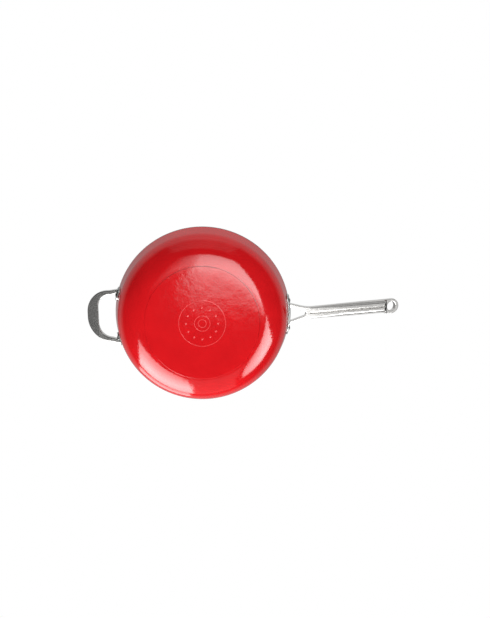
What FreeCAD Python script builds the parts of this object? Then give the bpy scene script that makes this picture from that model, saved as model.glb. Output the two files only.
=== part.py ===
"""A deep enamelled cast iron skillet with a long riveted handle and a loop helper handle.

The frame: origin at the centre of the base on the hob plane, +Z up, +X along the long handle.
Millimetres. Every size below comes from the Dimensions sheet; a Size carries both its value and
the expression that binds it to that sheet.
"""
import FreeCAD, Part
import math
import os

import Sketcher

# The driving dimensions, in millimetres and degrees: alias, value, what it is.
DIMENSIONS = [
    ("rim_radius", 152.0, "outer radius of the rolled rim"),
    ("pan_height", 80.0, "hob plane to the top of the rim"),
    ("corner_radius", 51.0, "outer radius between base and wall"),
    ("flare", 11.3, "angle of the wall from the vertical"),
    ("foot_step", 0.7, "how far the flat base stands proud of the corner"),
    ("iron", 3.0, "thickness of the casting"),
    ("coat", 0.4, "thickness of each enamel coat"),
    ("lip_drop", 1.8, "how far the dark coat comes down the outside of the rim"),
    ("mark_radius", 39.0, "outer radius of the round mark on the base"),
    ("mark_depth", 0.15, "depth of the mark's grooves"),
    ("mark_line", 0.9, "width of the mark's grooves"),
    ("shank_radius", 3.0, "rivet shank"),
    ("dome_radius", 4.8, "outside rivet dome"),
    ("dome_height", 2.4, "outside rivet dome"),
    ("head_radius", 6.5, "inside rivet head"),
    ("head_height", 2.0, "inside rivet head"),
    ("head_seat", 0.16, "how far the flat head stands off the hollow wall at its middle"),
    ("mount_height", 64.0, "height of the rivets above the hob plane"),
    ("plate", 2.6, "thickness of the handles' mounting plates"),
    ("flange_half_length", 35.5, "long handle's plate, half its length"),
    ("flange_half_height", 11.5, "long handle's plate, half its height"),
    ("long_rivet_y", 24.6, "long handle's rivets, from the middle plane"),
    ("fork_arm", 6.4, "width of a fork arm"),
    ("crotch_x", 175.0, "end of the fork opening, before its round"),
    ("fork_angle", 16.0, "how fast the fork narrows, each side"),
    ("neck_run", 24.0, "length of the curve from the fork into the neck"),
    ("neck_x", 194.0, "narrowest place of the long handle"),
    ("neck_half_width", 10.3, "narrowest place of the long handle"),
    ("grip_end_x", 331.0, "end of the grip, where the loop starts"),
    ("grip_half_width", 12.8, "grip at its widest"),
    ("loop_x", 345.0, "centre of the hanging loop"),
    ("hole_x", 343.0, "centre of the hanging hole, a little nearer the pan"),
    ("loop_radius", 13.4, "outside of the hanging loop"),
    ("hole_radius", 8.8, "hanging hole"),
    ("fork_z", 65.5, "middle of the fork arms at the plate"),
    ("fork_rise", 14.0, "slope of the fork"),
    ("grip_rise", 17.3, "slope of the grip"),
    ("bend_start_x", 165.0, "where the fork starts to bend up"),
    ("bend_end_x", 215.0, "where the bend ends"),
    ("fork_half_depth", 5.6, "half the depth of the fork and neck"),
    ("grip_half_depth", 8.2, "half the depth of the grip at its end"),
    ("loop_half_depth", 4.6, "half the depth of the loop"),
    ("grip_step", 4.0, "half the length of the slope from the grip down to the loop"),
    ("crown_run", 40.0, "how far before its end the grip's top starts to come down"),
    ("crown_share", 0.8, "height of the grip's top there, as a share of grip_half_depth"),
    ("round_start_x", 187.0, "start of the rounded underside, in the neck"),
    ("round_end_x", 331.0, "end of the rounded underside"),
    ("round_drop", 6.2, "lowest line of the rounded underside, below the grip's middle line"),
    ("round_radius", 7.4, "rounding along the grip's lower edges"),
    ("round_flat", 4.6, "half the flat stretch between the two roundings"),
    ("slot_start_x", 187.0, "start of the slot under the grip"),
    ("slot_end_x", 329.0, "end of the slot"),
    ("slot_half_width", 1.1, "half the width of the slot"),
    ("slot_depth", 3.0, "depth of the slot"),
    ("long_bar_x", 140.0, "where the long handle's bar starts, inside the wall, before it is trimmed"),
    ("helper_bar_x", 136.0, "where the helper handle's bar starts, before it is trimmed"),
    ("cut_reach", 60.0, "how far the cutters reach past what they cut"),
    ("helper_rivet_y", 37.5, "helper handle's rivets, from the middle plane"),
    ("pad_inner_y", 28.5, "helper handle's plates, inner end"),
    ("pad_outer_y", 50.5, "helper handle's plates, outer end"),
    ("pad_half_height", 9.5, "helper handle's plates, half their height"),
    ("helper_reach", 201.0, "far end of the helper handle"),
    ("helper_band", 19.5, "width of its grip"),
    ("helper_root_half", 48.5, "half its width at the plates, outside"),
    ("helper_corner", 40.0, "outside corner radius"),
    ("helper_flat", 4.5, "half of the straight stretch at the far end"),
    ("helper_inner_corner", 24.0, "inside corner radius"),
    ("helper_inner_flat", 14.0, "half of the inside straight stretch"),
    ("helper_root_arm", 5.2, "width of an arm at the plate"),
    ("helper_root_z", 65.0, "middle of the arms at the plates"),
    ("helper_first_rise", 10.0, "slope of the arms at the plates"),
    ("helper_last_rise", 21.0, "slope of the grip"),
    ("helper_root_depth", 6.0, "half the depth of the arms at the plates"),
    ("helper_end_depth", 2.9, "half the thickness of the grip"),
]

# The mark's rings and dots, as shares of its radius; a dot's radius in widths of its line.
MARK_RING_SHARES = (1.0, 0.34, 0.18)
MARK_DOTS, MARK_DOT_SHARE, MARK_DOT_LINES = 12, 0.68, 1.6

# Corner radius of the mounting plates, as a share of half their height.
FLANGE_CORNER, PAD_CORNER = 0.9, 0.7

doc = FreeCAD.newDocument("Skillet")
sheet = doc.addObject("Spreadsheet::Sheet", "Dimensions")


class Size:
    """A number with the sheet expression that gives it."""

    def __init__(self, value, text):
        self.value = float(value)
        self.text = text

    def __add__(self, other):
        other = size(other)
        return Size(self.value + other.value, f"({self.text} + {other.text})")

    def __sub__(self, other):
        other = size(other)
        return Size(self.value - other.value, f"({self.text} - {other.text})")

    def __mul__(self, other):
        other = size(other)
        return Size(self.value * other.value, f"({self.text} * {other.text})")

    def __truediv__(self, other):
        other = size(other)
        return Size(self.value / other.value, f"({self.text} / {other.text})")

    def __neg__(self):
        return Size(-self.value, f"(0 - {self.text})")

    def __radd__(self, other):
        return size(other) + self

    def __rsub__(self, other):
        return size(other) - self

    def __rmul__(self, other):
        return size(other) * self


def size(x):
    """x as a Size; a plain number stays a plain number in the expression."""
    return x if isinstance(x, Size) else Size(x, repr(float(x)))


def sine(angle):
    return Size(math.sin(math.radians(angle.value)), f"sin({angle.text})")


def cosine(angle):
    return Size(math.cos(math.radians(angle.value)), f"cos({angle.text})")


def tangent(angle):
    return Size(math.tan(math.radians(angle.value)), f"tan({angle.text})")


def fill_sheet():
    """Writes the sheet and returns its cells as Sizes, by alias."""
    cells = {}
    for row, (alias, value, note) in enumerate(DIMENSIONS, start=1):
        sheet.set(f"A{row}", alias)
        sheet.set(f"B{row}", str(value))
        sheet.set(f"C{row}", note)
        sheet.setAlias(f"B{row}", alias)
        cells[alias] = Size(value, f"Dimensions.{alias}")
    doc.recompute()
    return cells


d = fill_sheet()

# Derived sizes of the pan's section. All its surfaces are offsets of the outer enamel surface.
full_wall = d["iron"] + 2 * d["coat"]
lip_radius = full_wall / 2
lip_r = d["rim_radius"] - lip_radius
lip_z = d["pan_height"] - lip_radius
corner_z = d["foot_step"] + d["corner_radius"]
flare_cos = cosine(d["flare"])
flare_sin = sine(d["flare"])
flare_tan = tangent(d["flare"])
# The wall's outer line passes the lip's outer tangent point.
wall_top_r = lip_r + lip_radius * flare_cos
wall_top_z = lip_z - lip_radius * flare_sin
bend_z = corner_z - d["corner_radius"] * flare_sin
bend_r = wall_top_r - (wall_top_z - bend_z) * flare_tan
base_radius = bend_r - d["corner_radius"] * flare_cos


def wall_r(z):
    """Radius of the wall's outer surface at height z."""
    return wall_top_r - (wall_top_z - z) * flare_tan


def new_body(label):
    body = doc.addObject("PartDesign::Body", label)
    body.Label = label
    return body


def origin_plane(body, role):
    return next(f for f in body.Origin.OriginFeatures if f.Role == role)


def new_sketch(body, name, role="XZ_Plane", offset=None):
    sketch = body.newObject("Sketcher::SketchObject", name)
    sketch.AttachmentSupport = [(origin_plane(body, role), "")]
    sketch.MapMode = "FlatFace"
    if offset is not None:
        sketch.AttachmentOffset = offset
    return sketch


def bind(sketch, constraint, value):
    """Adds a constraint whose size is bound to the sheet."""
    index = sketch.addConstraint(constraint)
    sketch.setExpression(f"Constraints[{index}]", value.text)


def place_point(sketch, geometry, end, x, y):
    """Fixes one end of a curve at (x, y) from the sketch's origin."""
    x, y = size(x), size(y)
    bind(sketch, Sketcher.Constraint("DistanceX", -1, 1, geometry, end, x.value), x)
    bind(sketch, Sketcher.Constraint("DistanceY", -1, 1, geometry, end, y.value), y)


def vector(point):
    return FreeCAD.Vector(size(point[0]).value, size(point[1]).value, 0)


def arc_between(start, end, radius, side):
    """The shorter arc from start to end. side is 1 where its centre lies left of the way there."""
    chord = end - start
    half = chord.Length / 2
    across = FreeCAD.Vector(-chord.y, chord.x, 0).normalize()
    centre = start + chord * 0.5 + across * (side * math.sqrt(max(radius**2 - half**2, 0)))
    first, last = (start, end) if side > 0 else (end, start)
    angles = [math.atan2(p.y - centre.y, p.x - centre.x) for p in (first, last)]
    circle = Part.Circle(centre, FreeCAD.Vector(0, 0, 1), radius)
    return Part.ArcOfCircle(circle, angles[0], angles[1])


def loop(sketch, steps):
    """A closed outline. Each step is (x, y) for a line to the next point, or (x, y, radius, side)."""
    count = len(steps)
    ends = []
    for i, step in enumerate(steps):
        start, end = vector(step), vector(steps[(i + 1) % count])
        if len(step) == 2:
            index = sketch.addGeometry(Part.LineSegment(start, end), False)
            ends.append((index, 1, 2))
        else:
            radius, side = size(step[2]), step[3]
            index = sketch.addGeometry(arc_between(start, end, radius.value, side), False)
            ends.append((index, 1, 2) if side > 0 else (index, 2, 1))
    for i, step in enumerate(steps):
        index, first, _ = ends[i]
        before, _, last = ends[i - 1]
        sketch.addConstraint(Sketcher.Constraint("Coincident", before, last, index, first))
        place_point(sketch, index, first, step[0], step[1])
        if len(step) > 2:
            radius = size(step[2])
            bind(sketch, Sketcher.Constraint("Radius", index, radius.value), radius)


def circle(sketch, x, y, radius):
    radius = size(radius)
    shape = Part.Circle(vector((x, y)), FreeCAD.Vector(0, 0, 1), radius.value)
    index = sketch.addGeometry(shape, False)
    place_point(sketch, index, 3, x, y)
    bind(sketch, Sketcher.Constraint("Radius", index, radius.value), radius)


def revolve(body, sketch, kind="PartDesign::Revolution", name="Revolution"):
    """A full turn of the sketch about its own vertical axis, which is the body's Z axis."""
    feature = body.newObject(kind, name)
    feature.Profile = sketch
    feature.ReferenceAxis = (sketch, ["V_Axis"])
    feature.Angle = 360
    doc.recompute()
    return feature


def cut_checked(body, make):
    """Runs make, which adds a cutting feature, and stops if it removed nothing."""
    doc.recompute()
    before = body.Shape.Volume
    feature = make()
    doc.recompute()
    if body.Shape.Volume > before - 0.01:
        raise RuntimeError(f"{body.Label}: {feature.Name} cut nothing")
    return feature


def pad(body, sketch, length, name, midplane=False, reverse=False):
    feature = body.newObject("PartDesign::Pad", name)
    feature.Profile = sketch
    feature.Length = size(length).value
    feature.setExpression("Length", size(length).text)
    feature.Midplane = midplane
    feature.Reversed = reverse
    doc.recompute()
    return feature


def pocket(body, sketch, length, name, midplane=False, reverse=False):
    def make():
        feature = body.newObject("PartDesign::Pocket", name)
        feature.Profile = sketch
        feature.Length = size(length).value
        feature.setExpression("Length", size(length).text)
        feature.Midplane = midplane
        feature.Reversed = reverse
        return feature

    return cut_checked(body, make)


def wall_frame(y, towards):
    """Where a rivet at distance y from the middle plane passes the wall's outer surface.

    The frame's Z axis is the wall's outward normal; towards is 1 on the +X side and -1 on the other.
    """
    z = d["mount_height"].value
    radius = wall_r(d["mount_height"]).value
    turn = math.asin(y / radius)
    azimuth = turn if towards > 0 else math.pi - turn
    flare = math.radians(d["flare"].value)
    outward = FreeCAD.Vector(
        math.cos(flare) * math.cos(azimuth), math.cos(flare) * math.sin(azimuth), -math.sin(flare)
    )
    place = FreeCAD.Vector(radius * math.cos(azimuth), radius * math.sin(azimuth), z)
    return FreeCAD.Placement(place, FreeCAD.Rotation(FreeCAD.Vector(0, 0, 1), outward))


def rivet_places(side):
    """Name ending and frame of the two rivets on one side: 1 for the long handle, -1 for the helper."""
    y = d["long_rivet_y"] if side > 0 else d["helper_rivet_y"]
    return [("left", wall_frame(y.value, side)), ("right", wall_frame(-y.value, side))]


def rivet_holes(body, sides):
    """Holes for the shanks, square to the wall, through everything at the rivets."""
    lift = 2 * d["plate"]
    for side in sides:
        for ending, frame in rivet_places(side):
            name = f"{body.Label}_hole_{'long' if side > 0 else 'helper'}_{ending}"
            lifted = frame.multiply(FreeCAD.Placement(FreeCAD.Vector(0, 0, lift.value), FreeCAD.Rotation()))
            sketch = new_sketch(body, f"{name}_circle", "XY_Plane", lifted)
            circle(sketch, 0, 0, d["shank_radius"])
            pocket(body, sketch, lift + 3 * full_wall, name)


def wall_point(offset, z):
    """A point of the wall's surface at this inward offset, at the height z of its outer surface."""
    return wall_r(z) - offset * flare_cos, z + offset * flare_sin


def corner_end(offset):
    """Where the corner arc at this inward offset meets the wall's straight line."""
    radius = d["corner_radius"] - offset
    return base_radius + radius * flare_cos, corner_z - radius * flare_sin


def lip_point(offset, inside):
    """Where the lip arc meets the wall's line at this offset, on the outside or the inside."""
    reach = (lip_radius - offset) if not inside else (offset - lip_radius)
    sign = -1 if inside else 1
    return lip_r + sign * reach * flare_cos, lip_z - sign * reach * flare_sin


def build_casting():
    """The iron body: flat base, round corner, flared wall and a full-round rim."""
    body = new_body("pan_casting")
    sketch = new_sketch(body, "casting_section")
    outer, inner = d["coat"], d["coat"] + d["iron"]
    foot_r = base_radius - outer
    loop(
        sketch,
        [
            (0, outer),
            (foot_r, outer),
            (foot_r, d["foot_step"] + outer),
            (base_radius, d["foot_step"] + outer, d["corner_radius"] - outer, 1),
            corner_end(outer),
            (*lip_point(outer, False), d["iron"] / 2, 1),
            lip_point(inner, True),
            (*corner_end(inner), d["corner_radius"] - inner, -1),
            (base_radius, d["foot_step"] + inner),
            (0, d["foot_step"] + inner),
        ],
    )
    revolve(body, sketch)
    rivet_holes(body, (1, -1))
    return body


def build_outer_enamel():
    """The coloured coat over the base and the outside of the wall, with a plain round mark."""
    body = new_body("outer_enamel")
    sketch = new_sketch(body, "outer_enamel_section")
    outer = d["coat"]
    edge_z = wall_top_z - d["lip_drop"]
    loop(
        sketch,
        [
            (0, 0),
            (base_radius, 0),
            (base_radius, d["foot_step"], d["corner_radius"], 1),
            corner_end(size(0)),
            wall_point(size(0), edge_z),
            wall_point(outer, edge_z),
            (*corner_end(outer), d["corner_radius"] - outer, -1),
            (base_radius, d["foot_step"] + outer),
            (base_radius - outer, d["foot_step"] + outer),
            (base_radius - outer, outer),
            (0, outer),
        ],
    )
    revolve(body, sketch)
    rivet_holes(body, (1, -1))
    engrave_mark(body)
    return body


def engrave_mark(body):
    """A generic mark under the base, with no lettering: plain rings and a circle of dots."""
    sketch = new_sketch(body, "mark_rings", "XY_Plane")
    line = d["mark_line"]
    for share in MARK_RING_SHARES:
        radius = d["mark_radius"] * share
        circle(sketch, 0, 0, radius)
        circle(sketch, 0, 0, radius - line)
    pocket(body, sketch, d["mark_depth"], "mark_ring_grooves", reverse=True)
    sketch = new_sketch(body, "mark_dots", "XY_Plane")
    reach = d["mark_radius"] * MARK_DOT_SHARE
    for i in range(MARK_DOTS):
        angle = 2 * math.pi * i / MARK_DOTS
        circle(sketch, reach * math.cos(angle), reach * math.sin(angle), line * MARK_DOT_LINES)
    pocket(body, sketch, d["mark_depth"], "mark_dot_hollows", reverse=True)


def build_inner_enamel():
    """The dark coat inside the pan, over the rim and a little way down its outside."""
    body = new_body("inner_enamel")
    sketch = new_sketch(body, "inner_enamel_section")
    outer, iron_inside = d["coat"], d["coat"] + d["iron"]
    edge_z = wall_top_z - d["lip_drop"]
    loop(
        sketch,
        [
            (0, d["foot_step"] + iron_inside),
            (base_radius, d["foot_step"] + iron_inside, d["corner_radius"] - iron_inside, 1),
            corner_end(iron_inside),
            (*lip_point(iron_inside, True), d["iron"] / 2, -1),
            lip_point(outer, False),
            wall_point(outer, edge_z),
            wall_point(size(0), edge_z),
            (*lip_point(size(0), False), lip_radius, 1),
            lip_point(full_wall, True),
            (*corner_end(full_wall), d["corner_radius"] - full_wall, -1),
            (base_radius, d["foot_step"] + full_wall),
            (0, d["foot_step"] + full_wall),
        ],
    )
    revolve(body, sketch)
    rivet_holes(body, (1, -1))
    return body


def build_rivet(label, frame):
    """A solid rivet about its own Z axis: dome outside the plate, shank, low head inside the pan."""
    body = new_body(label)
    sketch = new_sketch(body, f"{label}_section")
    head_base = -(full_wall + d["head_seat"])
    dome = (d["dome_radius"] * d["dome_radius"] / d["dome_height"] + d["dome_height"]) / 2
    head = (d["head_radius"] * d["head_radius"] / d["head_height"] + d["head_height"]) / 2
    loop(
        sketch,
        [
            (0, head_base - d["head_height"], head, 1),
            (d["head_radius"], head_base),
            (d["shank_radius"], head_base),
            (d["shank_radius"], d["plate"]),
            (d["dome_radius"], d["plate"], dome, 1),
            (0, d["plate"] + d["dome_height"]),
        ],
    )
    revolve(body, sketch)
    body.Placement = frame
    return body


def round_edges(body, radius, wanted, name):
    """Rounds the edges that wanted picks, leaving out any that can't take the radius."""
    doc.recompute()
    tip = body.Tip
    names = [f"Edge{i + 1}" for i, e in enumerate(tip.Shape.Edges) if wanted(e)]
    if not names:
        raise RuntimeError(f"{body.Label}: no edges for {name}")
    fillet = body.newObject("PartDesign::Fillet", name)
    fillet.Base = (tip, names)
    fillet.Radius = size(radius).value
    fillet.setExpression("Radius", size(radius).text)
    doc.recompute()
    return fillet


def wall_groove(body):
    """Cuts everything inside the pan's outer surface, so that the plates sit on the wall."""
    low, high = size(20), d["pan_height"] + 40
    sketch = new_sketch(body, f"{body.Label}_wall_section")
    loop(sketch, [(0, low), (wall_r(low), low), (wall_r(high), high), (0, high)])
    cut_checked(body, lambda: revolve(body, sketch, "PartDesign::Groove", f"{body.Label}_wall"))


def bent_plate(body, azimuth, span, half_height, name):
    """A mounting plate: a piece of the wall's cone, moved out, turned through the angle span."""
    turn = FreeCAD.Rotation(FreeCAD.Vector(0, 1, 0), azimuth)
    sketch = new_sketch(body, f"{name}_section", "XZ_Plane", FreeCAD.Placement(FreeCAD.Vector(), turn))
    low, high = d["mount_height"] - half_height, d["mount_height"] + half_height
    back, front = size(0), d["plate"] / flare_cos
    loop(
        sketch,
        [
            (wall_r(low) + back, low),
            (wall_r(low) + front, low),
            (wall_r(high) + front, high),
            (wall_r(high) + back, high),
        ],
    )
    feature = body.newObject("PartDesign::Revolution", name)
    feature.Profile = sketch
    feature.ReferenceAxis = (sketch, ["V_Axis"])
    feature.Midplane = True
    feature.Angle = span.value
    feature.setExpression("Angle", span.text)
    doc.recompute()
    return feature


def arc_angle(length, radius):
    """The angle, in degrees, that an arc of this length spans."""
    value = math.degrees(length.value / radius.value)
    return Size(value, f"({length.text} / {radius.text} * 180 / pi)")


def is_plate_corner(edge, half_height):
    """True for the short edges through a plate's thickness at its four corners."""
    thickness = d["plate"].value / flare_cos.value
    if abs(edge.Length - thickness) > 0.2 * thickness:
        return False
    middle = edge.CenterOfMass
    if math.hypot(middle.x, middle.y) > d["rim_radius"].value + thickness:
        return False
    return abs(abs(middle.z - d["mount_height"].value) - half_height.value) < 1.0


# The long handle's middle line: a straight fork, a bend and a straight grip.
root_x = wall_r(d["mount_height"])
bend_start_z = d["fork_z"] + (d["bend_start_x"] - root_x) * tangent(d["fork_rise"])
bend_chord_slope = (d["fork_rise"] + d["grip_rise"]) / 2
bend_end_z = bend_start_z + (d["bend_end_x"] - d["bend_start_x"]) * tangent(bend_chord_slope)


def grip_z(x):
    """Height of the grip's middle line at x."""
    return bend_end_z + (x - d["bend_end_x"]) * tangent(d["grip_rise"])


def long_side(sketch):
    """Side outline of the long handle, in the XZ plane."""
    start = d["long_bar_x"]
    start_z = d["fork_z"] - (root_x - start) * tangent(d["fork_rise"])
    b0, b1 = d["bend_start_x"], d["bend_end_x"]
    chord = (b1 - b0) / cosine(bend_chord_slope)
    radius = chord / (2 * sine((d["grip_rise"] - d["fork_rise"]) / 2))
    grip_x, loop_x = d["grip_end_x"] - d["grip_step"], d["grip_end_x"] + d["grip_step"]
    crown_x = d["grip_end_x"] - d["crown_run"]
    end = d["loop_x"] + d["loop_radius"] + 2
    fork, grip, tip = d["fork_half_depth"], d["grip_half_depth"], d["loop_half_depth"]
    loop(
        sketch,
        [
            (start, start_z - fork),
            (b0, bend_start_z - fork, radius, 1),
            (b1, bend_end_z - fork),
            (grip_x, grip_z(grip_x) - grip),
            (loop_x, grip_z(loop_x) - tip),
            (end, grip_z(end) - tip),
            (end, grip_z(end) + tip),
            (loop_x, grip_z(loop_x) + tip),
            (crown_x, grip_z(crown_x) + grip * d["crown_share"]),
            (b1, bend_end_z + fork, radius, -1),
            (b0, bend_start_z + fork),
            (start, start_z + fork),
        ],
    )


def long_plan(sketch):
    """Everything outside the long handle's outline seen from above, and its fork opening."""
    start = d["long_bar_x"]
    margin = d["cut_reach"]
    widening = (d["grip_half_width"] - d["neck_half_width"]) / (d["grip_end_x"] - d["neck_x"])
    curve_x = d["neck_x"] - d["neck_run"]
    widening_angle = Size(math.degrees(math.atan(widening.value)), f"(atan({widening.text}) / 1deg)")
    chord_slope = (d["fork_angle"] - widening_angle) / 2
    curve_y = d["neck_half_width"] + d["neck_run"] * tangent(chord_slope)
    half_turn = (d["fork_angle"] + widening_angle) / 2
    radius = d["neck_run"] / cosine(chord_slope) / (2 * sine(half_turn))
    start_y = curve_y + (curve_x - start) * tangent(d["fork_angle"])
    tip_x = d["loop_x"] + d["loop_radius"]
    end = tip_x + margin
    loop(sketch, [(start, -margin), (end, -margin), (end, margin), (start, margin)])
    loop(
        sketch,
        [
            (start + 1, -start_y),
            (curve_x, -curve_y, radius, -1),
            (d["neck_x"], -d["neck_half_width"]),
            (d["grip_end_x"], -d["grip_half_width"]),
            (d["loop_x"], -d["loop_radius"], d["loop_radius"], 1),
            (tip_x, 0, d["loop_radius"], 1),
            (d["loop_x"], d["loop_radius"]),
            (d["grip_end_x"], d["grip_half_width"]),
            (d["neck_x"], d["neck_half_width"], radius, -1),
            (curve_x, curve_y),
            (start + 1, start_y),
        ],
    )
    open_start = start_y - d["fork_arm"] / cosine(d["fork_angle"])
    open_end = open_start - (d["crotch_x"] - start) * tangent(d["fork_angle"])
    loop(
        sketch,
        [
            (start + 2, -open_start),
            (d["crotch_x"], -open_end, open_end, 1),
            (d["crotch_x"] + open_end, 0, open_end, 1),
            (d["crotch_x"], open_end),
            (start + 2, open_start),
        ],
    )


def grip_frame(x, drop, across):
    """A frame on the grip at x, this far below its middle line.

    Its X axis runs along the grip, or across it if across, with Z then along the grip.
    """
    slope = math.radians(d["grip_rise"].value)
    along = FreeCAD.Vector(math.cos(slope), 0, math.sin(slope))
    above = FreeCAD.Vector(-math.sin(slope), 0, math.cos(slope))
    place = FreeCAD.Vector(x.value, 0, grip_z(x).value) - above * drop.value
    if across:
        turn = FreeCAD.Rotation(FreeCAD.Vector(0, 1, 0), above, along, "XYZ")
    else:
        turn = FreeCAD.Rotation(along, FreeCAD.Vector(0, 1, 0), above, "XYZ")
    return FreeCAD.Placement(place, turn)


def grip_rounding(sketch):
    """Everything outside the grip's rounded underside, seen along the grip."""
    radius, flat = d["round_radius"], d["round_flat"]
    margin = d["cut_reach"] / 2
    low = -d["round_drop"]
    side, middle = flat + radius, low + radius
    lean, high = side + 2, d["grip_half_depth"]
    loop(
        sketch,
        [
            (-margin, high),
            (-lean, high),
            (-side, middle, radius, 1),
            (-flat, low),
            (flat, low, radius, 1),
            (side, middle),
            (lean, high),
            (margin, high),
            (margin, -margin),
            (-margin, -margin),
        ],
    )


def slot_outline(sketch):
    """The slot under the grip, in the grip's own plane, measured along the grip from its start."""
    half = d["slot_half_width"]
    last = (d["slot_end_x"] - d["slot_start_x"]) / cosine(d["grip_rise"])
    loop(
        sketch,
        [
            (0, -half),
            (last, -half, half, 1),
            (last + half, 0, half, 1),
            (last, half),
            (0, half, half, 1),
            (-half, 0, half, 1),
        ],
    )


def build_long_handle():
    """The long handle: bent plate, fork, neck, slotted grip and hanging loop in one casting."""
    body = new_body("long_handle")
    sketch = new_sketch(body, "long_side_outline")
    long_side(sketch)
    pad(body, sketch, d["cut_reach"] + d["flange_half_length"], "long_bar", midplane=True)
    sketch = new_sketch(body, "long_plan_outline", "XY_Plane")
    long_plan(sketch)
    pocket(body, sketch, d["loop_x"], "long_plan_cut", midplane=True)
    first, last = d["round_start_x"], d["round_end_x"]
    sketch = new_sketch(body, "grip_section", "XY_Plane", grip_frame(first, size(0), True))
    grip_rounding(sketch)
    pocket(body, sketch, (last - first) / cosine(d["grip_rise"]), "grip_underside", reverse=True)
    drop = d["round_drop"] - d["slot_depth"]
    sketch = new_sketch(body, "slot_plan", "XY_Plane", grip_frame(d["slot_start_x"], drop, False))
    slot_outline(sketch)
    pocket(body, sketch, d["cut_reach"], "slot")
    sketch = new_sketch(body, "hanging_hole_circle", "XY_Plane", grip_frame(d["hole_x"], size(0), False))
    circle(sketch, 0, 0, d["hole_radius"])
    pocket(body, sketch, d["cut_reach"], "hanging_hole", midplane=True)
    span = arc_angle(2 * d["flange_half_length"], root_x)
    bent_plate(body, 0, span, d["flange_half_height"], "flange")
    wall_groove(body)
    round_edges(
        body,
        d["flange_half_height"] * FLANGE_CORNER,
        lambda e: is_plate_corner(e, d["flange_half_height"]),
        "flange_ends",
    )
    rivet_holes(body, (1,))
    return body


def helper_side(sketch):
    """Side outline of the helper handle, in the XZ plane: three runs, each steeper than the last."""
    runs = 3
    root, end = -d["helper_bar_x"], -(d["helper_reach"] + 2)
    run = (root - end) / runs
    x, z = root, d["helper_root_z"]
    half = d["helper_root_depth"]
    thinning = (half - d["helper_end_depth"]) / runs
    low, high = [(x, z - half)], [(x, z + half)]
    for i in range(runs):
        rise = d["helper_first_rise"] + (d["helper_last_rise"] - d["helper_first_rise"]) * (i / (runs - 1))
        x, z, half = x - run, z + run * tangent(rise), half - thinning
        low.append((x, z - half))
        high.append((x, z + half))
    loop(sketch, high + low[::-1])


def helper_plan(sketch):
    """Everything outside the helper handle's outline seen from above, and its finger opening."""
    margin = d["cut_reach"] * 1.5
    root = -(d["helper_bar_x"] + 1)
    far = -d["helper_reach"]
    corner, flat = d["helper_corner"], d["helper_flat"]
    inner, inner_flat = d["helper_inner_corner"], d["helper_inner_flat"]
    inner_far = far + d["helper_band"]
    arm_x, inner_arm_x = far + corner, inner_far + inner
    arm_y, inner_arm_y = flat + corner, inner_flat + inner
    root_y = d["helper_root_half"]
    inner_root_y = root_y - d["helper_root_arm"]
    loop(sketch, [(far - 20, -margin), (root + 2, -margin), (root + 2, margin), (far - 20, margin)])
    loop(
        sketch,
        [
            (root, -root_y),
            (root, -inner_root_y),
            (inner_arm_x, -inner_arm_y, inner, -1),
            (inner_far, -inner_flat),
            (inner_far, inner_flat, inner, -1),
            (inner_arm_x, inner_arm_y),
            (root, inner_root_y),
            (root, root_y),
            (arm_x, arm_y, corner, 1),
            (far, flat),
            (far, -flat, corner, 1),
            (arm_x, -arm_y),
        ],
    )


def build_helper_handle():
    """The helper handle: a loop of flat bar with a riveted plate at the end of each arm."""
    body = new_body("helper_handle")
    sketch = new_sketch(body, "helper_side_outline")
    helper_side(sketch)
    pad(body, sketch, 2 * (d["cut_reach"] + 20), "helper_bar", midplane=True)
    sketch = new_sketch(body, "helper_plan_outline", "XY_Plane")
    helper_plan(sketch)
    pocket(body, sketch, d["helper_reach"] * 2, "helper_plan_cut", midplane=True)
    middle_y = (d["pad_inner_y"] + d["pad_outer_y"]) / 2
    span = arc_angle(d["pad_outer_y"] - d["pad_inner_y"], root_x * 0.97)
    for ending, sign in (("left", 1), ("right", -1)):
        azimuth = 180 - sign * math.degrees(math.asin(middle_y.value / root_x.value))
        bent_plate(body, azimuth, span, d["pad_half_height"], f"pad_{ending}")
    wall_groove(body)
    round_edges(
        body,
        d["pad_half_height"] * PAD_CORNER,
        lambda e: is_plate_corner(e, d["pad_half_height"]),
        "pad_ends",
    )
    rivet_holes(body, (-1,))
    return body


def check(bodies):
    """Stops if anything in the document failed or any sub-part isn't one valid solid."""
    doc.recompute()
    for item in doc.Objects:
        if any(word in item.State for word in ("Invalid", "Error")):
            raise RuntimeError(f"{item.Label}: {item.State}")
    for body in bodies:
        shape = body.Shape
        if shape.isNull() or not shape.isValid() or len(shape.Solids) != 1:
            raise RuntimeError(f"{body.Label}: not one valid solid")
        print(f"{body.Label}: {shape.Volume / 1000:.1f} cm3, {len(shape.Faces)} faces")


def main():
    bodies = [build_casting(), build_outer_enamel(), build_inner_enamel()]
    bodies += [build_long_handle(), build_helper_handle()]
    for side, name in ((1, "handle_rivet"), (-1, "helper_rivet")):
        bodies += [build_rivet(f"{name}_{ending}", frame) for ending, frame in rivet_places(side)]
    check(bodies)
    os.makedirs("parts", exist_ok=True)
    for body in bodies:
        body.Shape.exportStep(f"parts/{body.Label}.step")


main()
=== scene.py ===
import math

import bpy
from mathutils import Matrix, Vector


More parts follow.
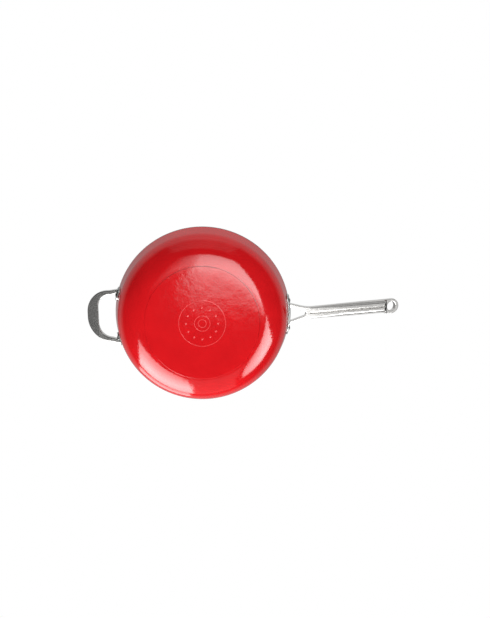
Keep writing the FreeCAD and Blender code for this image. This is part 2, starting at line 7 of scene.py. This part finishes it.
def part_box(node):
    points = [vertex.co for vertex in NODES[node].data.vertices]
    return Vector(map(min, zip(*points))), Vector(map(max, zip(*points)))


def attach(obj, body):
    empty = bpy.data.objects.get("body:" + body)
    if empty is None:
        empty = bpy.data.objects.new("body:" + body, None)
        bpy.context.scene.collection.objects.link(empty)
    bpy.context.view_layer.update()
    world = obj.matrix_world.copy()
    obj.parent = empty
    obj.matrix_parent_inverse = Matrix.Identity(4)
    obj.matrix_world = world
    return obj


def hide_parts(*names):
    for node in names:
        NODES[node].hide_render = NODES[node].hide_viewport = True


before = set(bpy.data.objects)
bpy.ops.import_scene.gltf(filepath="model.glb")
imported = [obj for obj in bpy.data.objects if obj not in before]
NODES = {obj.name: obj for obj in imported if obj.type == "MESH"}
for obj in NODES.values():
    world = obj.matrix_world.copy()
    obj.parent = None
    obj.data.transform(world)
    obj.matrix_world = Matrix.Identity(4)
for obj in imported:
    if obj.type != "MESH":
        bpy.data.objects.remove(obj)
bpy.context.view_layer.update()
MM = 0.001
TINY = 1e-6


# Sizes of the pan, in millimetres -------------------------------------------

BASE_RADIUS = 94.754
FOOT_STEP = 0.7
CORNER_RADIUS = 51.0
CORNER_Z = FOOT_STEP + CORNER_RADIUS
FLARE = math.radians(11.3)
WALL_TOP_R, WALL_TOP_Z = 151.9632, 77.7277
LIP_DROP = 1.8
EDGE_Z = WALL_TOP_Z - LIP_DROP
COAT = 0.4
FULL_WALL = 3.8
INSIDE_Z = FOOT_STEP + FULL_WALL
FOOT_EDGE = ((-0.7, 0.0), (-0.25, 0.03), (0.0, 0.25), (0.02, FOOT_STEP - 0.1))
TURN_STEPS = 480

# The mark on the base: rings that are shares of its radius, and a circle of dots.
MARK_RADIUS, MARK_DEPTH, MARK_LINE = 39.0, 0.15, 0.9
MARK_SHARES = (1.0, 0.34, 0.18)
GROOVE_OUT, GROOVE_IN = 0.08, 0.12
DOT_REACH, DOT_RADIUS, DOTS = 0.68 * MARK_RADIUS, 1.6 * MARK_LINE, 12
DOT_MARGIN, DOT_RING, DOT_WALL = 1.0, 0.24, 0.3

# The rivets and the handles' slope.
MOUNT_Z, LONG_RIVET_Y, HELPER_RIVET_Y = 64.0, 24.6, 37.5
PLATE = 2.6
DOME_RADIUS, DOME_HEIGHT, DOME_LAND, DOME_EDGE = 4.8, 2.4, 0.2, 0.12
HEAD_RADIUS, HEAD_HEIGHT, HEAD_SEAT, HEAD_EDGE = 6.5, 2.0, 0.16, 0.15
SHANK_RADIUS = 3.0
GRIP_SLOPE = math.radians(17.3)


# Looks: lengths in millimetres, a noise's scale in cells per metre -----------

RED_DEEP, RED_BRIGHT = (0.44, 0.0050, 0.0073), (0.49, 0.0062, 0.0086)
PEEL_SCALE, PEEL = 330.0, 0.12
WAVE_SCALE, WAVE = 60.0, 0.3
MARK_COLOUR, MARK_SHOW, MARK_ROUGH = (0.85, 0.12, 0.12), 0.34, 0.25
LINE_CORE, LINE_FADE = 0.4, 0.7
DOT_CORE, DOT_FADE = 0.8, 1.1
MARK_TOP = 0.3
# Painted shade along the crease at the foot: its dark colour and strength, its place and width, and the side
# where it is strongest and how fast it fades to a trace.
CREASE_SHADE_COLOUR, CREASE_SHADE_SHOW = (0.16, 0.002, 0.003), 0.75
CREASE_RADIUS, CREASE_CORE, CREASE_FADE, CREASE_TOP = BASE_RADIUS + 0.2, 0.2, 1.0, 2.0
CREASE_SHADE_WAY, CREASE_SHADE_REACH, CREASE_SHADE_LEAST = (0.7, -0.7, 0), 60.0, 0.12
BLACK_DEEP, BLACK_BRIGHT = (0.015, 0.015, 0.016), (0.021, 0.0205, 0.0205)
IRON_DEEP, IRON_BRIGHT = (0.05, 0.048, 0.046), (0.12, 0.115, 0.11)
STEEL_TINT, STEEL_DIP = (1.0, 0.985, 0.96), 0.86
SKY_SHEEN, SKY_FILL = 0.4, 0.9


# Mesh work ------------------------------------------------------------------

def add(name, mesh):
    piece = bpy.data.objects.new(name, mesh)
    bpy.context.scene.collection.objects.link(piece)
    return piece


def arc(centre, radius, start, end, steps):
    """Points on an arc in the (r, z) plane, angles in degrees from +r towards +z."""
    points = []
    for i in range(steps + 1):
        a = math.radians(start + (end - start) * i / steps)
        points.append((centre[0] + radius * math.cos(a), centre[1] + radius * math.sin(a)))
    return points


def run(start, end, steps):
    """Points on a straight run, without its last point."""
    return [
        tuple(s + (e - s) * i / steps for s, e in zip(start, end))
        for i in range(steps)
    ]


def lathe(name, outline, segments, change=None, sharp=25.0):
    """Turns an outline of (r, z) in millimetres about +Z; a point at r = 0 becomes one vertex.

    change moves each turned point, and sharp is the angle in degrees that shades as an edge.
    """
    verts, rings = [], []
    for r, z in outline:
        if r < TINY:
            rings.append([len(verts)] * segments)
            verts.append((0.0, 0.0, z * MM))
            continue
        rings.append(list(range(len(verts), len(verts) + segments)))
        for k in range(segments):
            a = 2 * math.pi * k / segments
            point = (r * math.cos(a), r * math.sin(a), z)
            if change:
                point = change(*point)
            verts.append(tuple(c * MM for c in point))
    faces = []
    for low, high in zip(rings, rings[1:]):
        for k in range(segments):
            j = (k + 1) % segments
            face = list(dict.fromkeys([low[k], low[j], high[j], high[k]]))
            if len(face) > 2:
                faces.append(face)
    mesh = bpy.data.meshes.new(name)
    mesh.from_pydata(verts, [], faces)
    mesh.validate()
    mesh.shade_smooth()
    mesh.set_sharp_from_angle(angle=math.radians(sharp))
    return add(name, mesh)


def rounded_copy(name, node, slope, voxel=0.35, passes=24, keep=0.3):
    """A CAD node's shape rebuilt as one fine skin with its edges smoothed round.

    The shape is laid level for this, by its slope about Y, so that the skin's grid runs along it.
    """
    level = Matrix.Rotation(slope, 4, "Y")
    piece = add(name, NODES[node].data.copy())
    piece.data.transform(level @ NODES[node].matrix_world)
    piece.data.materials.clear()
    remesh = piece.modifiers.new("skin", "REMESH")
    remesh.mode = "VOXEL"
    remesh.voxel_size = voxel * MM
    smooth = piece.modifiers.new("round", "SMOOTH")
    smooth.factor = 0.5
    smooth.iterations = passes
    thin = piece.modifiers.new("thin", "DECIMATE")
    thin.ratio = keep
    bpy.context.view_layer.update()
    ready = piece.evaluated_get(bpy.context.evaluated_depsgraph_get())
    mesh = bpy.data.meshes.new_from_object(ready)
    piece.modifiers.clear()
    piece.data = mesh
    mesh.transform(level.inverted())
    mesh.shade_smooth()
    return piece


# Node materials -------------------------------------------------------------

class Paint:
    """A Principled material and short ways to wire its nodes."""

    def __init__(self, name, **inputs):
        self.mat = bpy.data.materials.new(name)
        self.mat.use_nodes = True
        self.tree = self.mat.node_tree
        self.shader = self.tree.nodes["Principled BSDF"]
        for key, value in inputs.items():
            self.shader.inputs[key.replace("_", " ")].default_value = value
        self.coord = self.tree.nodes.new("ShaderNodeTexCoord").outputs["Object"]

    def node(self, kind, out, **inputs):
        """A new node's output. set_x sets the node's own x, n0 is its input 0, others go by name."""
        node = self.tree.nodes.new(kind)
        for key, value in inputs.items():
            if key.startswith("set_"):
                setattr(node, key[4:], value)
                continue
            numbered = key[0] == "n" and key[1:].isdigit()
            socket = node.inputs[int(key[1:]) if numbered else key.replace("_", " ")]
            if isinstance(value, bpy.types.NodeSocket):
                self.tree.links.new(value, socket)
            elif isinstance(value, tuple) and len(value) == 3 and socket.type == "RGBA":
                socket.default_value = (*value, 1)
            else:
                socket.default_value = value
        return node.outputs[out]

    def scaled(self, scale, slope):
        level = self.node("ShaderNodeMapping", "Vector", Vector=self.coord, Rotation=(0, slope, 0))
        return self.node("ShaderNodeMapping", "Vector", Vector=level, Scale=scale)

    def noise(self, scale, detail=3.0, rough=0.5, vector=None):
        return self.node(
            "ShaderNodeTexNoise", 0,
            Vector=vector or self.coord, Scale=scale, Detail=detail, Roughness=rough,
        )

    def spread(self, value, low, high, start=0.3, end=0.7):
        """low where the value is start, high where it is end, and level beyond them."""
        return self.node(
            "ShaderNodeMapRange", 0, Value=value, From_Min=start, From_Max=end, To_Min=low, To_Max=high
        )

    def mottle(self, scale, deep, bright, detail=3.0):
        return self.blend(self.spread(self.noise(scale, detail), 0.0, 1.0), deep, bright)

    def math(self, what, a, b=0.0):
        return self.node("ShaderNodeMath", 0, set_operation=what, n0=a, n1=b)

    def vector(self, what, out, a, b=(0, 0, 0)):
        return self.node("ShaderNodeVectorMath", out, set_operation=what, n0=a, n1=b)

    def gap(self, a, b):
        return self.math("ABSOLUTE", self.math("SUBTRACT", a, b))

    def blend(self, share, a, b):
        return self.node("ShaderNodeMix", 2, set_data_type="RGBA", n0=share, n6=a, n7=b)

    def bump(self, height, strength, distance, below=None):
        inputs = {"Height": height, "Strength": strength, "Distance": distance}
        if below is not None:
            inputs["Normal"] = below
        return self.node("ShaderNodeBump", 0, **inputs)

    def give(self, **inputs):
        for key, value in inputs.items():
            self.tree.links.new(value, self.shader.inputs[key.replace("_", " ")])


def mark_share(p, flat, radius, height):
    """1 on the lines and dots of the mark under the base, 0 elsewhere."""
    mask = 0.0
    for share in MARK_SHARES:
        off = p.gap(radius, (MARK_RADIUS * share - MARK_LINE / 2) * MM)
        line = p.spread(off, 1.0, 0.0, MARK_LINE * LINE_CORE * MM, MARK_LINE * LINE_FADE * MM)
        mask = p.math("MAXIMUM", line, mask)
    for k in range(DOTS):
        a = 2 * math.pi * k / DOTS
        middle = (DOT_REACH * math.cos(a) * MM, DOT_REACH * math.sin(a) * MM, 0)
        far = p.vector("DISTANCE", 1, flat, middle)
        dot = p.spread(far, 1.0, 0.0, DOT_RADIUS * DOT_CORE * MM, DOT_RADIUS * DOT_FADE * MM)
        mask = p.math("MAXIMUM", mask, dot)
    under = p.math("LESS_THAN", height, MARK_TOP * MM)
    return p.math("MULTIPLY", p.math("MULTIPLY", mask, under), MARK_SHOW)


def crease_shade_share(p, radius, height):
    """Painted shade in the crease where the foot meets the corner: a patchy dark line, strong on the +X, -Y
    side and fainter on the other.
    """
    line = p.spread(p.gap(radius, CREASE_RADIUS * MM), 1.0, 0.0, CREASE_CORE * MM, CREASE_FADE * MM)
    patchy = p.spread(p.noise(22.0, 2.0), 0.25, 1.0, 0.35, 0.6)
    # The painted shade is strongest towards +X, -Y and fades to a trace on the other side.
    towards = p.vector("DOT_PRODUCT", 1, p.coord, CREASE_SHADE_WAY)
    shade_side = p.spread(towards, CREASE_SHADE_LEAST, 1.0, 0.0, CREASE_SHADE_REACH * MM)
    low_down = p.math("LESS_THAN", height, CREASE_TOP * MM)
    share = p.math("MULTIPLY", p.math("MULTIPLY", line, patchy), p.math("MULTIPLY", shade_side, low_down))
    return p.math("MULTIPLY", share, CREASE_SHADE_SHOW)


def red_enamel():
    """Glossy coloured glass over iron: orange peel, slight mottling, painted shade along the crease, a paler
    mark.
    """
    p = Paint("red_enamel", Roughness=0.1, IOR=1.65)
    flat = p.vector("MULTIPLY", 0, p.coord, (1, 1, 0))
    radius = p.vector("LENGTH", 1, flat)
    height = p.node("ShaderNodeSeparateXYZ", 2, Vector=p.coord)
    colour = p.mottle(28.0, RED_DEEP, RED_BRIGHT)
    # Painted shade: the colour darkens along the crease at the foot.
    colour = p.blend(crease_shade_share(p, radius, height), colour, CREASE_SHADE_COLOUR)
    mask = mark_share(p, flat, radius, height)
    colour = p.blend(mask, colour, MARK_COLOUR)
    sheen = p.spread(p.noise(160.0), 0.075, 0.12)
    rough = p.math("ADD", sheen, p.math("MULTIPLY", mask, MARK_ROUGH))
    peel = p.bump(p.noise(PEEL_SCALE, 2.0), PEEL, 0.0004)
    peel = p.bump(p.noise(WAVE_SCALE, 2.0), WAVE, 0.0006, peel)
    p.give(Base_Color=colour, Roughness=rough, Normal=peel)
    return p.mat


def black_enamel():
    """Satin black enamel: fine pebbled surface, uneven sheen."""
    p = Paint("black_enamel", IOR=1.5)
    p.give(
        Base_Color=p.mottle(90.0, BLACK_DEEP, BLACK_BRIGHT),
        Roughness=p.spread(p.noise(140.0, 4.0), 0.29, 0.36),
        Normal=p.bump(p.noise(1400.0, 2.0), 0.25, 0.0003),
    )
    return p.mat


def bare_iron():
    """Iron as cast: grey, grainy."""
    p = Paint("cast_iron", Metallic=0.7)
    p.give(
        Base_Color=p.mottle(180.0, IRON_DEEP, IRON_BRIGHT, detail=5.0),
        Roughness=p.spread(p.noise(260.0), 0.5, 0.75),
        Normal=p.bump(p.noise(900.0, 4.0), 0.5, 0.0006),
    )
    return p.mat


def satin_steel(name, stretch, low, high, bright=0.62, slope=0.0):
    """Stainless steel, brushed along the bar: fine lines in the sheen, uneven polish."""
    p = Paint(name, Metallic=1.0)
    shade = tuple(bright * c for c in STEEL_TINT)
    dark = tuple(c * STEEL_DIP for c in shade)
    colour = p.mottle(45.0, dark, shade)
    lines = p.noise(1.0, 4.0, 0.6, p.scaled(stretch, slope))
    rough = p.math("ADD", p.spread(lines, low, high), p.spread(p.noise(120.0, 2.0), -0.01, 0.02))
    p.give(Base_Color=colour, Roughness=rough, Normal=p.bump(lines, 0.006, 0.0002))
    return p.mat


MAT_RED = red_enamel()
MAT_BLACK = black_enamel()
MAT_IRON = bare_iron()
MAT_LONG = satin_steel("satin_steel_long", (120, 2600, 2600), 0.16, 0.24, slope=GRIP_SLOPE)
MAT_HELPER = satin_steel("satin_steel_helper", (2400, 160, 2400), 0.2, 0.28, bright=0.5)
MAT_RIVET = satin_steel("rivet_steel", (900, 900, 900), 0.1, 0.18, bright=0.68)


# The pan --------------------------------------------------------------------

def wall_point(offset, z):
    """The point at height z on the straight wall, this far inside its outer surface."""
    r = WALL_TOP_R + (z - WALL_TOP_Z) * math.tan(FLARE) - offset / math.cos(FLARE)
    return r, z


def corner(offset, steps):
    """The corner's arc from the base to the straight wall, this far inside the outer surface."""
    return arc((BASE_RADIUS, CORNER_Z), CORNER_RADIUS - offset, -90, -math.degrees(FLARE), steps)


def mark_outline():
    """The base from its middle outwards, with the ring grooves and fine rings for the dots."""
    points = [(0.0, 0.0)]
    for share in sorted(MARK_SHARES):
        outer = MARK_RADIUS * share
        inner = outer - MARK_LINE
        if share == max(MARK_SHARES):
            reach = DOT_REACH - DOT_RADIUS - DOT_MARGIN
            while reach < DOT_REACH + DOT_RADIUS + DOT_MARGIN:
                points.append((reach, 0.0))
                reach += DOT_RING
        points += [
            (inner - GROOVE_OUT, 0.0), (inner + GROOVE_IN, MARK_DEPTH),
            (outer - GROOVE_IN, MARK_DEPTH), (outer + GROOVE_OUT, 0.0),
        ]
    return points


def dot_hollow(x, y, z):
    """Sinks the base inside the dots of the mark."""
    if z > TINY or abs(math.hypot(x, y) - DOT_REACH) > DOT_RADIUS + DOT_MARGIN / 2:
        return x, y, z
    step = 2 * math.pi / DOTS
    a = round(math.atan2(y, x) / step) * step
    off = math.hypot(x - DOT_REACH * math.cos(a), y - DOT_REACH * math.sin(a))
    share = min(max((DOT_RADIUS + GROOVE_IN - off) / DOT_WALL, 0.0), 1.0)
    return x, y, MARK_DEPTH * share


def build_outer_skin():
    bend = corner(0.0, 64)
    outline = mark_outline() + run((60.0, 0.0), (90.0, 0.0), 3)
    outline += [(BASE_RADIUS + out, z) for out, z in FOOT_EDGE]
    outline += bend[1:-1] + run(bend[-1], wall_point(0.0, EDGE_Z), 6)
    outline += [wall_point(0.0, EDGE_Z), wall_point(COAT, EDGE_Z)]
    outline += corner(COAT, 40)[::-1]
    outline += [(BASE_RADIUS - COAT, COAT), (0.0, COAT)]
    return lathe("outer_enamel_skin", outline, TURN_STEPS, dot_hollow)


def build_inner_skin():
    lip = FULL_WALL / 2
    centre = (WALL_TOP_R - lip * math.cos(FLARE), WALL_TOP_Z + lip * math.sin(FLARE))
    flare = math.degrees(FLARE)
    outline = [(0.0, INSIDE_Z)] + run((30.0, INSIDE_Z), (BASE_RADIUS, INSIDE_Z), 3)
    outline += corner(FULL_WALL, 48)
    outline += arc(centre, lip, 180 - flare, -flare, 20)
    outline += [wall_point(0.0, EDGE_Z), wall_point(COAT, EDGE_Z)]
    outline += arc(centre, lip - COAT, -flare, 180 - flare, 14)
    outline += corner(FULL_WALL - COAT, 30)[::-1]
    outline += [(0.0, INSIDE_Z - COAT)]
    return lathe("inner_enamel_skin", outline[::-1], TURN_STEPS)


def rivet_frame(side, y):
    """A frame on the pan's wall: Z out of the wall at this y, on the +X (1) or -X (-1) side."""
    radius = wall_point(0.0, MOUNT_Z)[0]
    x = side * math.sqrt(radius * radius - y * y)
    out = Vector((x / radius * math.cos(FLARE), y / radius * math.cos(FLARE), -math.sin(FLARE)))
    across = Vector((0, 0, 1)).cross(out).normalized()
    turn = Matrix((across, out.cross(across), out)).transposed().to_4x4()
    return Matrix.Translation(Vector((x, y, MOUNT_Z)) * MM) @ turn


def cap(radius, height):
    """The radius of the ball that a cap this wide and high is cut from, and half its angle."""
    ball = (radius ** 2 / height + height) / 2
    return ball, math.degrees(math.asin(radius / ball))


def build_rivet(name, side, y):
    """One rivet, turned: the flat head inside the pan, the shank, and the dome on the plate."""
    base = -(FULL_WALL + HEAD_SEAT)
    dome, dome_span = cap(DOME_RADIUS, DOME_HEIGHT)
    head, head_span = cap(HEAD_RADIUS, HEAD_HEIGHT)
    outline = arc((0.0, base - HEAD_HEIGHT + head), head, -90, -90 + head_span, 14)
    outline[0] = (0.0, base - HEAD_HEIGHT)
    outline += [(HEAD_RADIUS - HEAD_EDGE, base), (SHANK_RADIUS, base)]
    outline += [(SHANK_RADIUS, PLATE), (DOME_RADIUS - DOME_LAND, PLATE)]
    top = arc((0.0, PLATE + DOME_HEIGHT - dome), dome, 90 - dome_span, 90, 18)
    top[0] = (top[0][0], top[0][1] + DOME_EDGE)
    top[-1] = (0.0, PLATE + DOME_HEIGHT)
    piece = lathe(name, outline + top, 64, sharp=50.0)
    piece.data.transform(rivet_frame(side, y))
    return piece


def place(piece, node, mat):
    piece.data.materials.clear()
    piece.data.materials.append(mat)
    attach(piece, "root")
    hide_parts(node)


outer_skin, inner_skin = build_outer_skin(), build_inner_skin()
place(outer_skin, "outer_enamel", MAT_RED)
place(inner_skin, "inner_enamel", MAT_BLACK)
steel = []
for label, side, y in (("handle_rivet", 1, LONG_RIVET_Y), ("helper_rivet", -1, HELPER_RIVET_Y)):
    for ending in ("left", "right"):
        node = f"{label}_{ending}"
        low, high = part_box(node)
        sign = 1 if low[1] + high[1] > 0 else -1
        rivet = build_rivet(f"{node}_turned", side, sign * y)
        place(rivet, node, MAT_RIVET)
        steel.append(rivet)
for name, slope, mat in (
    ("long_handle", GRIP_SLOPE, MAT_LONG),
    ("helper_handle", -GRIP_SLOPE, MAT_HELPER),
):
    cast = rounded_copy(f"{name}_cast", name, slope)
    place(cast, name, mat)
    steel.append(cast)
NODES["pan_casting"].data.materials.clear()
NODES["pan_casting"].data.materials.append(MAT_IRON)


# Camera: below the pan, towards its -Y side -----------------------------------

CAMERA_PLACE = Vector((0.0233, -0.2588, -1.0939))
RIGHT = Vector((0.99904, 0.00369, -0.04382))
UP = Vector((0.01280, -0.97772, 0.20955))
BACK = Vector((-0.04208, -0.20991, -0.97682))
SENSOR, LENS = 36.0, 39.78


def aim_camera():
    data = bpy.data.cameras.new("camera")
    data.sensor_width = SENSOR
    data.lens = LENS
    camera = bpy.data.objects.new("camera", data)
    turn = Matrix((RIGHT, UP, BACK)).transposed().to_4x4()
    camera.matrix_world = Matrix.Translation(CAMERA_PLACE) @ turn
    bpy.context.scene.collection.objects.link(camera)
    bpy.context.scene.camera = camera


aim_camera()


# Light ----------------------------------------------------------------------

PAN_MIDDLE = Vector((0.0, 0.0, 0.03))
SIDEWAYS, UPRIGHT, ENDWAYS = (1, 0, 0), (0, 1, 0), (0, 0, 1)
EVEN = ((0.0, 1.0), (1.0, 1.0))


def gathered(name, pieces):
    """A collection that says which pieces a light falls on."""
    group = bpy.data.collections.new(name)
    for piece in pieces:
        group.objects.link(piece)
    return group


COATED = [outer_skin, inner_skin, NODES["pan_casting"]]
ENAMEL = gathered("lit_enamel", COATED)
STEEL = gathered("lit_steel", steel)
ALL = gathered("lit_pan", COATED + steel)


def shade_lamp(lamp, u_stops, v_stops):
    """Shades a lamp across (u) and along (v) by stops of (place, share)."""
    lamp.use_nodes = True
    tree = lamp.node_tree
    split = tree.nodes.new("ShaderNodeSeparateXYZ")
    tree.links.new(tree.nodes.new("ShaderNodeNewGeometry").outputs["Parametric"], split.inputs[0])
    both = tree.nodes.new("ShaderNodeMath")
    both.operation = "MULTIPLY"
    for i, (axis, stops) in enumerate((("X", u_stops), ("Y", v_stops))):
        ramp = tree.nodes.new("ShaderNodeValToRGB")
        points = ramp.color_ramp.elements
        while len(points) < len(stops):
            points.new(0.5)
        for point, (t, value) in zip(points, stops):
            point.position = t
            point.color = (value, value, value, 1)
        tree.links.new(split.outputs[axis], ramp.inputs[0])
        tree.links.new(ramp.outputs[0], both.inputs[i])
    tree.links.new(both.outputs[0], tree.nodes["Emission"].inputs["Strength"])


def panel(name, centre, across, along, size, distance, light, u_stops=EVEN, v_stops=EVEN, lit=ALL):
    """A soft light panel facing the pan.

    centre, across and along are (right, up, back) on the camera's side of the pan. The size is
    for a panel one metre away and grows with the distance. The stops shade it from edge to edge.
    """
    def way(v):
        return RIGHT * v[0] + UP * v[1] + BACK * v[2]

    lamp = bpy.data.lights.new(name, "AREA")
    lamp.shape = "RECTANGLE"
    lamp.size, lamp.size_y = size[0] * distance, size[1] * distance
    lamp.energy = light * math.pi * lamp.size * lamp.size_y
    obj = bpy.data.objects.new(name, lamp)
    x = way(across).normalized()
    y = way(along).normalized()
    z = x.cross(y)
    spot = way(centre) * distance
    if z.dot(spot) < 0:
        x, z = -x, -z
        u_stops = [(1 - t, value) for t, value in reversed(u_stops)]
    turn = Matrix((x, y, z)).transposed().to_4x4()
    obj.matrix_world = Matrix.Translation(PAN_MIDDLE + spot) @ turn
    bpy.context.scene.collection.objects.link(obj)
    obj.light_linking.receiver_collection = lit
    shade_lamp(lamp, u_stops, v_stops)
    return obj


panel(
    "low_left", (-0.615, -1.0, 0.49), SIDEWAYS, ENDWAYS, size=(0.99, 1.52), distance=1.3, light=9.0,
    u_stops=[(0.0, 0.8), (0.3, 1.0), (1.0, 0.85)],
    v_stops=[(0.0, 0.35), (0.07, 0.7), (0.3, 1.0), (0.5, 0.85), (0.75, 0.55), (1.0, 0.4)],
)
panel(
    "low_right", (0.68, -0.73, 0.693), (0.73, 0.68, 0), ENDWAYS, size=(0.62, 1.034), distance=1.3, light=8.5,
    u_stops=[(0.0, 0.5), (0.5, 1.0), (1.0, 0.95)],
    v_stops=[(0.0, 0.6), (0.2, 1.0), (0.5, 0.85), (0.8, 0.6), (1.0, 0.35)],
)
panel(
    "front", (0.28, 0.04, 1.0), SIDEWAYS, UPRIGHT, size=(0.58, 0.94), distance=2.4, light=5.0,
    u_stops=[(0.0, 0.8), (0.06, 0.9), (0.7, 1.1), (0.9, 1.1), (1.0, 0.4)],
    v_stops=[(0.0, 0.15), (0.09, 0.62), (0.16, 1.0), (0.6, 0.85), (0.9, 0.6), (1.0, 0.15)],
    lit=ENAMEL,
)
panel(
    "steel_front", (0.28, 0.04, 1.0), SIDEWAYS, UPRIGHT, size=(0.75, 0.94), distance=2.4, light=1.3,
    lit=STEEL,
)
panel(
    "front_left", (-0.16, 0.1, 1.0), SIDEWAYS, UPRIGHT, size=(0.32, 0.8), distance=2.4, light=2.4,
    u_stops=[(0.0, 0.03), (0.35, 0.15), (0.7, 0.5), (1.0, 1.0)],
    v_stops=[(0.0, 0.1), (0.2, 0.8), (0.6, 1.0), (0.9, 0.7), (1.0, 0.15)],
)
panel(
    "top", (0.0, 1.0, 0.35), SIDEWAYS, ENDWAYS, size=(1.15, 1.0), distance=1.5, light=0.2,
    u_stops=[(0.0, 0.7), (0.5, 1.0), (1.0, 0.8)],
)
panel("low_middle", (0.13, -1.0, 0.49), SIDEWAYS, ENDWAYS, size=(0.5, 1.52), distance=1.35, light=0.35)
panel(
    "steel_over", (0.17, 0.72, -0.66), SIDEWAYS, (0, 0.66, 0.72),
    size=(1.33, 1.33), distance=1.5, light=0.45, lit=STEEL,
)
panel(
    "steel_up", (0.47, 0.72, 0.51), (0.837, -0.547, 0), (0.28, 0.43, -0.86),
    size=(1.0, 1.2), distance=1.5, light=0.55, lit=STEEL,
)
panel(
    "steel_rear", (0.69, -0.58, -0.5), (0.64, 0.77, 0), (0.35, -0.29, 0.87),
    size=(0.7, 0.4), distance=1.5, light=1.4, lit=STEEL,
)
panel(
    "steel_right", (0.772, -0.328, 0.545), (0.391, 0.92, 0), (0.501, -0.213, -0.839),
    size=(1.3, 0.93), distance=1.5, light=0.8, lit=STEEL,
)
panel(
    "steel_left", (-0.666, -0.354, 0.656), (0.469, -0.883, 0), (0.579, 0.308, 0.755),
    size=(0.8, 0.8), distance=1.5, light=0.22, lit=STEEL,
)
fill = panel(
    "fill", (0.05, 1.0, 0.22), SIDEWAYS, (0, 0.22, -1.0),
    size=(1.2, 1.0), distance=1.5, light=2.2, lit=ENAMEL,
)
fill.visible_glossy = False
panel("key", (-0.5, -0.9, -0.55), (0.9, -0.5, 0), ENDWAYS, size=(0.7, 0.5), distance=1.6, light=2.6)


def sky():
    """White to the camera; a soft white dome overhead for the light, near dark below."""
    world = bpy.data.worlds.new("world")
    bpy.context.scene.world = world
    world.use_nodes = True
    tree = world.node_tree
    back = tree.nodes["Background"]
    back.inputs["Color"].default_value = (1, 1, 1, 1)
    path = tree.nodes.new("ShaderNodeLightPath")
    split = tree.nodes.new("ShaderNodeSeparateXYZ")
    tree.links.new(tree.nodes.new("ShaderNodeTexCoord").outputs["Generated"], split.inputs[0])

    def dome(low, high):
        """A strength that rises from low near the horizon to high overhead."""
        ramp = tree.nodes.new("ShaderNodeMapRange")
        for key, value in (("From Min", 0.1), ("From Max", 0.4), ("To Min", low), ("To Max", high)):
            ramp.inputs[key].default_value = value
        tree.links.new(split.outputs["Z"], ramp.inputs["Value"])
        return ramp.outputs["Result"]

    def pick(ray, otherwise):
        """The strength for rays of this kind, its input 3, and for all others."""
        mix = tree.nodes.new("ShaderNodeMix")
        tree.links.new(path.outputs[ray], mix.inputs[0])
        tree.links.new(otherwise, mix.inputs[2])
        return mix

    diffuse = pick("Is Diffuse Ray", dome(0.02, SKY_SHEEN))
    tree.links.new(dome(0.05, SKY_FILL), diffuse.inputs[3])
    seen = pick("Is Camera Ray", diffuse.outputs[0])
    seen.inputs[3].default_value = 1.0
    tree.links.new(seen.outputs[0], back.inputs["Strength"])


sky()


# Floor: a pale round sheet under the base that only the camera sees, and only from above ---
# Lengths in metres. Its own glow is low under the pan, as a soft shadow, and it fades out far off.

FLOOR_RADIUS, FLOOR_DROP = 4.0, 0.0002
SHADOW_CORE, SHADOW_REACH = 0.085, 0.23
GLOW_LOW, GLOW_HIGH = 0.22, 0.7
FADE_START, FADE_END = 0.7, 3.5


def build_floor():
    floor = lathe("floor", [(FLOOR_RADIUS / MM, 0.0), (0.0, 0.0)], 64)
    floor.location.z = -FLOOR_DROP
    paint = Paint("floor", Roughness=0.8)
    tree = paint.tree
    far = paint.vector("LENGTH", 1, paint.coord)
    glow = paint.node(
        "ShaderNodeMapRange", 0, set_interpolation_type="SMOOTHSTEP", Value=far,
        From_Min=SHADOW_CORE, From_Max=SHADOW_REACH, To_Min=GLOW_LOW, To_Max=GLOW_HIGH,
    )
    paint.give(
        Base_Color=paint.mottle(3.0, (0.17, 0.17, 0.17), (0.19, 0.19, 0.188)),
        Emission_Color=paint.mottle(3.0, (0.98, 0.98, 0.98), (1.0, 1.0, 0.995)),
        Emission_Strength=glow,
    )
    clear = tree.nodes.new("ShaderNodeBsdfTransparent")
    geometry = tree.nodes.new("ShaderNodeNewGeometry")
    fade = paint.spread(far, 0.0, 1.0, FADE_START, FADE_END)
    gone = paint.math("MAXIMUM", fade, geometry.outputs["Backfacing"])
    share = tree.nodes.new("ShaderNodeMixShader")
    for i, source in enumerate((gone, paint.shader.outputs[0], clear.outputs[0])):
        tree.links.new(source, share.inputs[i])
    tree.links.new(share.outputs[0], tree.nodes["Material Output"].inputs["Surface"])
    floor.data.materials.append(paint.mat)
    for ray in ("glossy", "diffuse", "shadow", "transmission", "volume_scatter"):
        setattr(floor, f"visible_{ray}", False)
    return floor


floor = build_floor()

bpy.context.scene.view_settings.view_transform = "Standard"
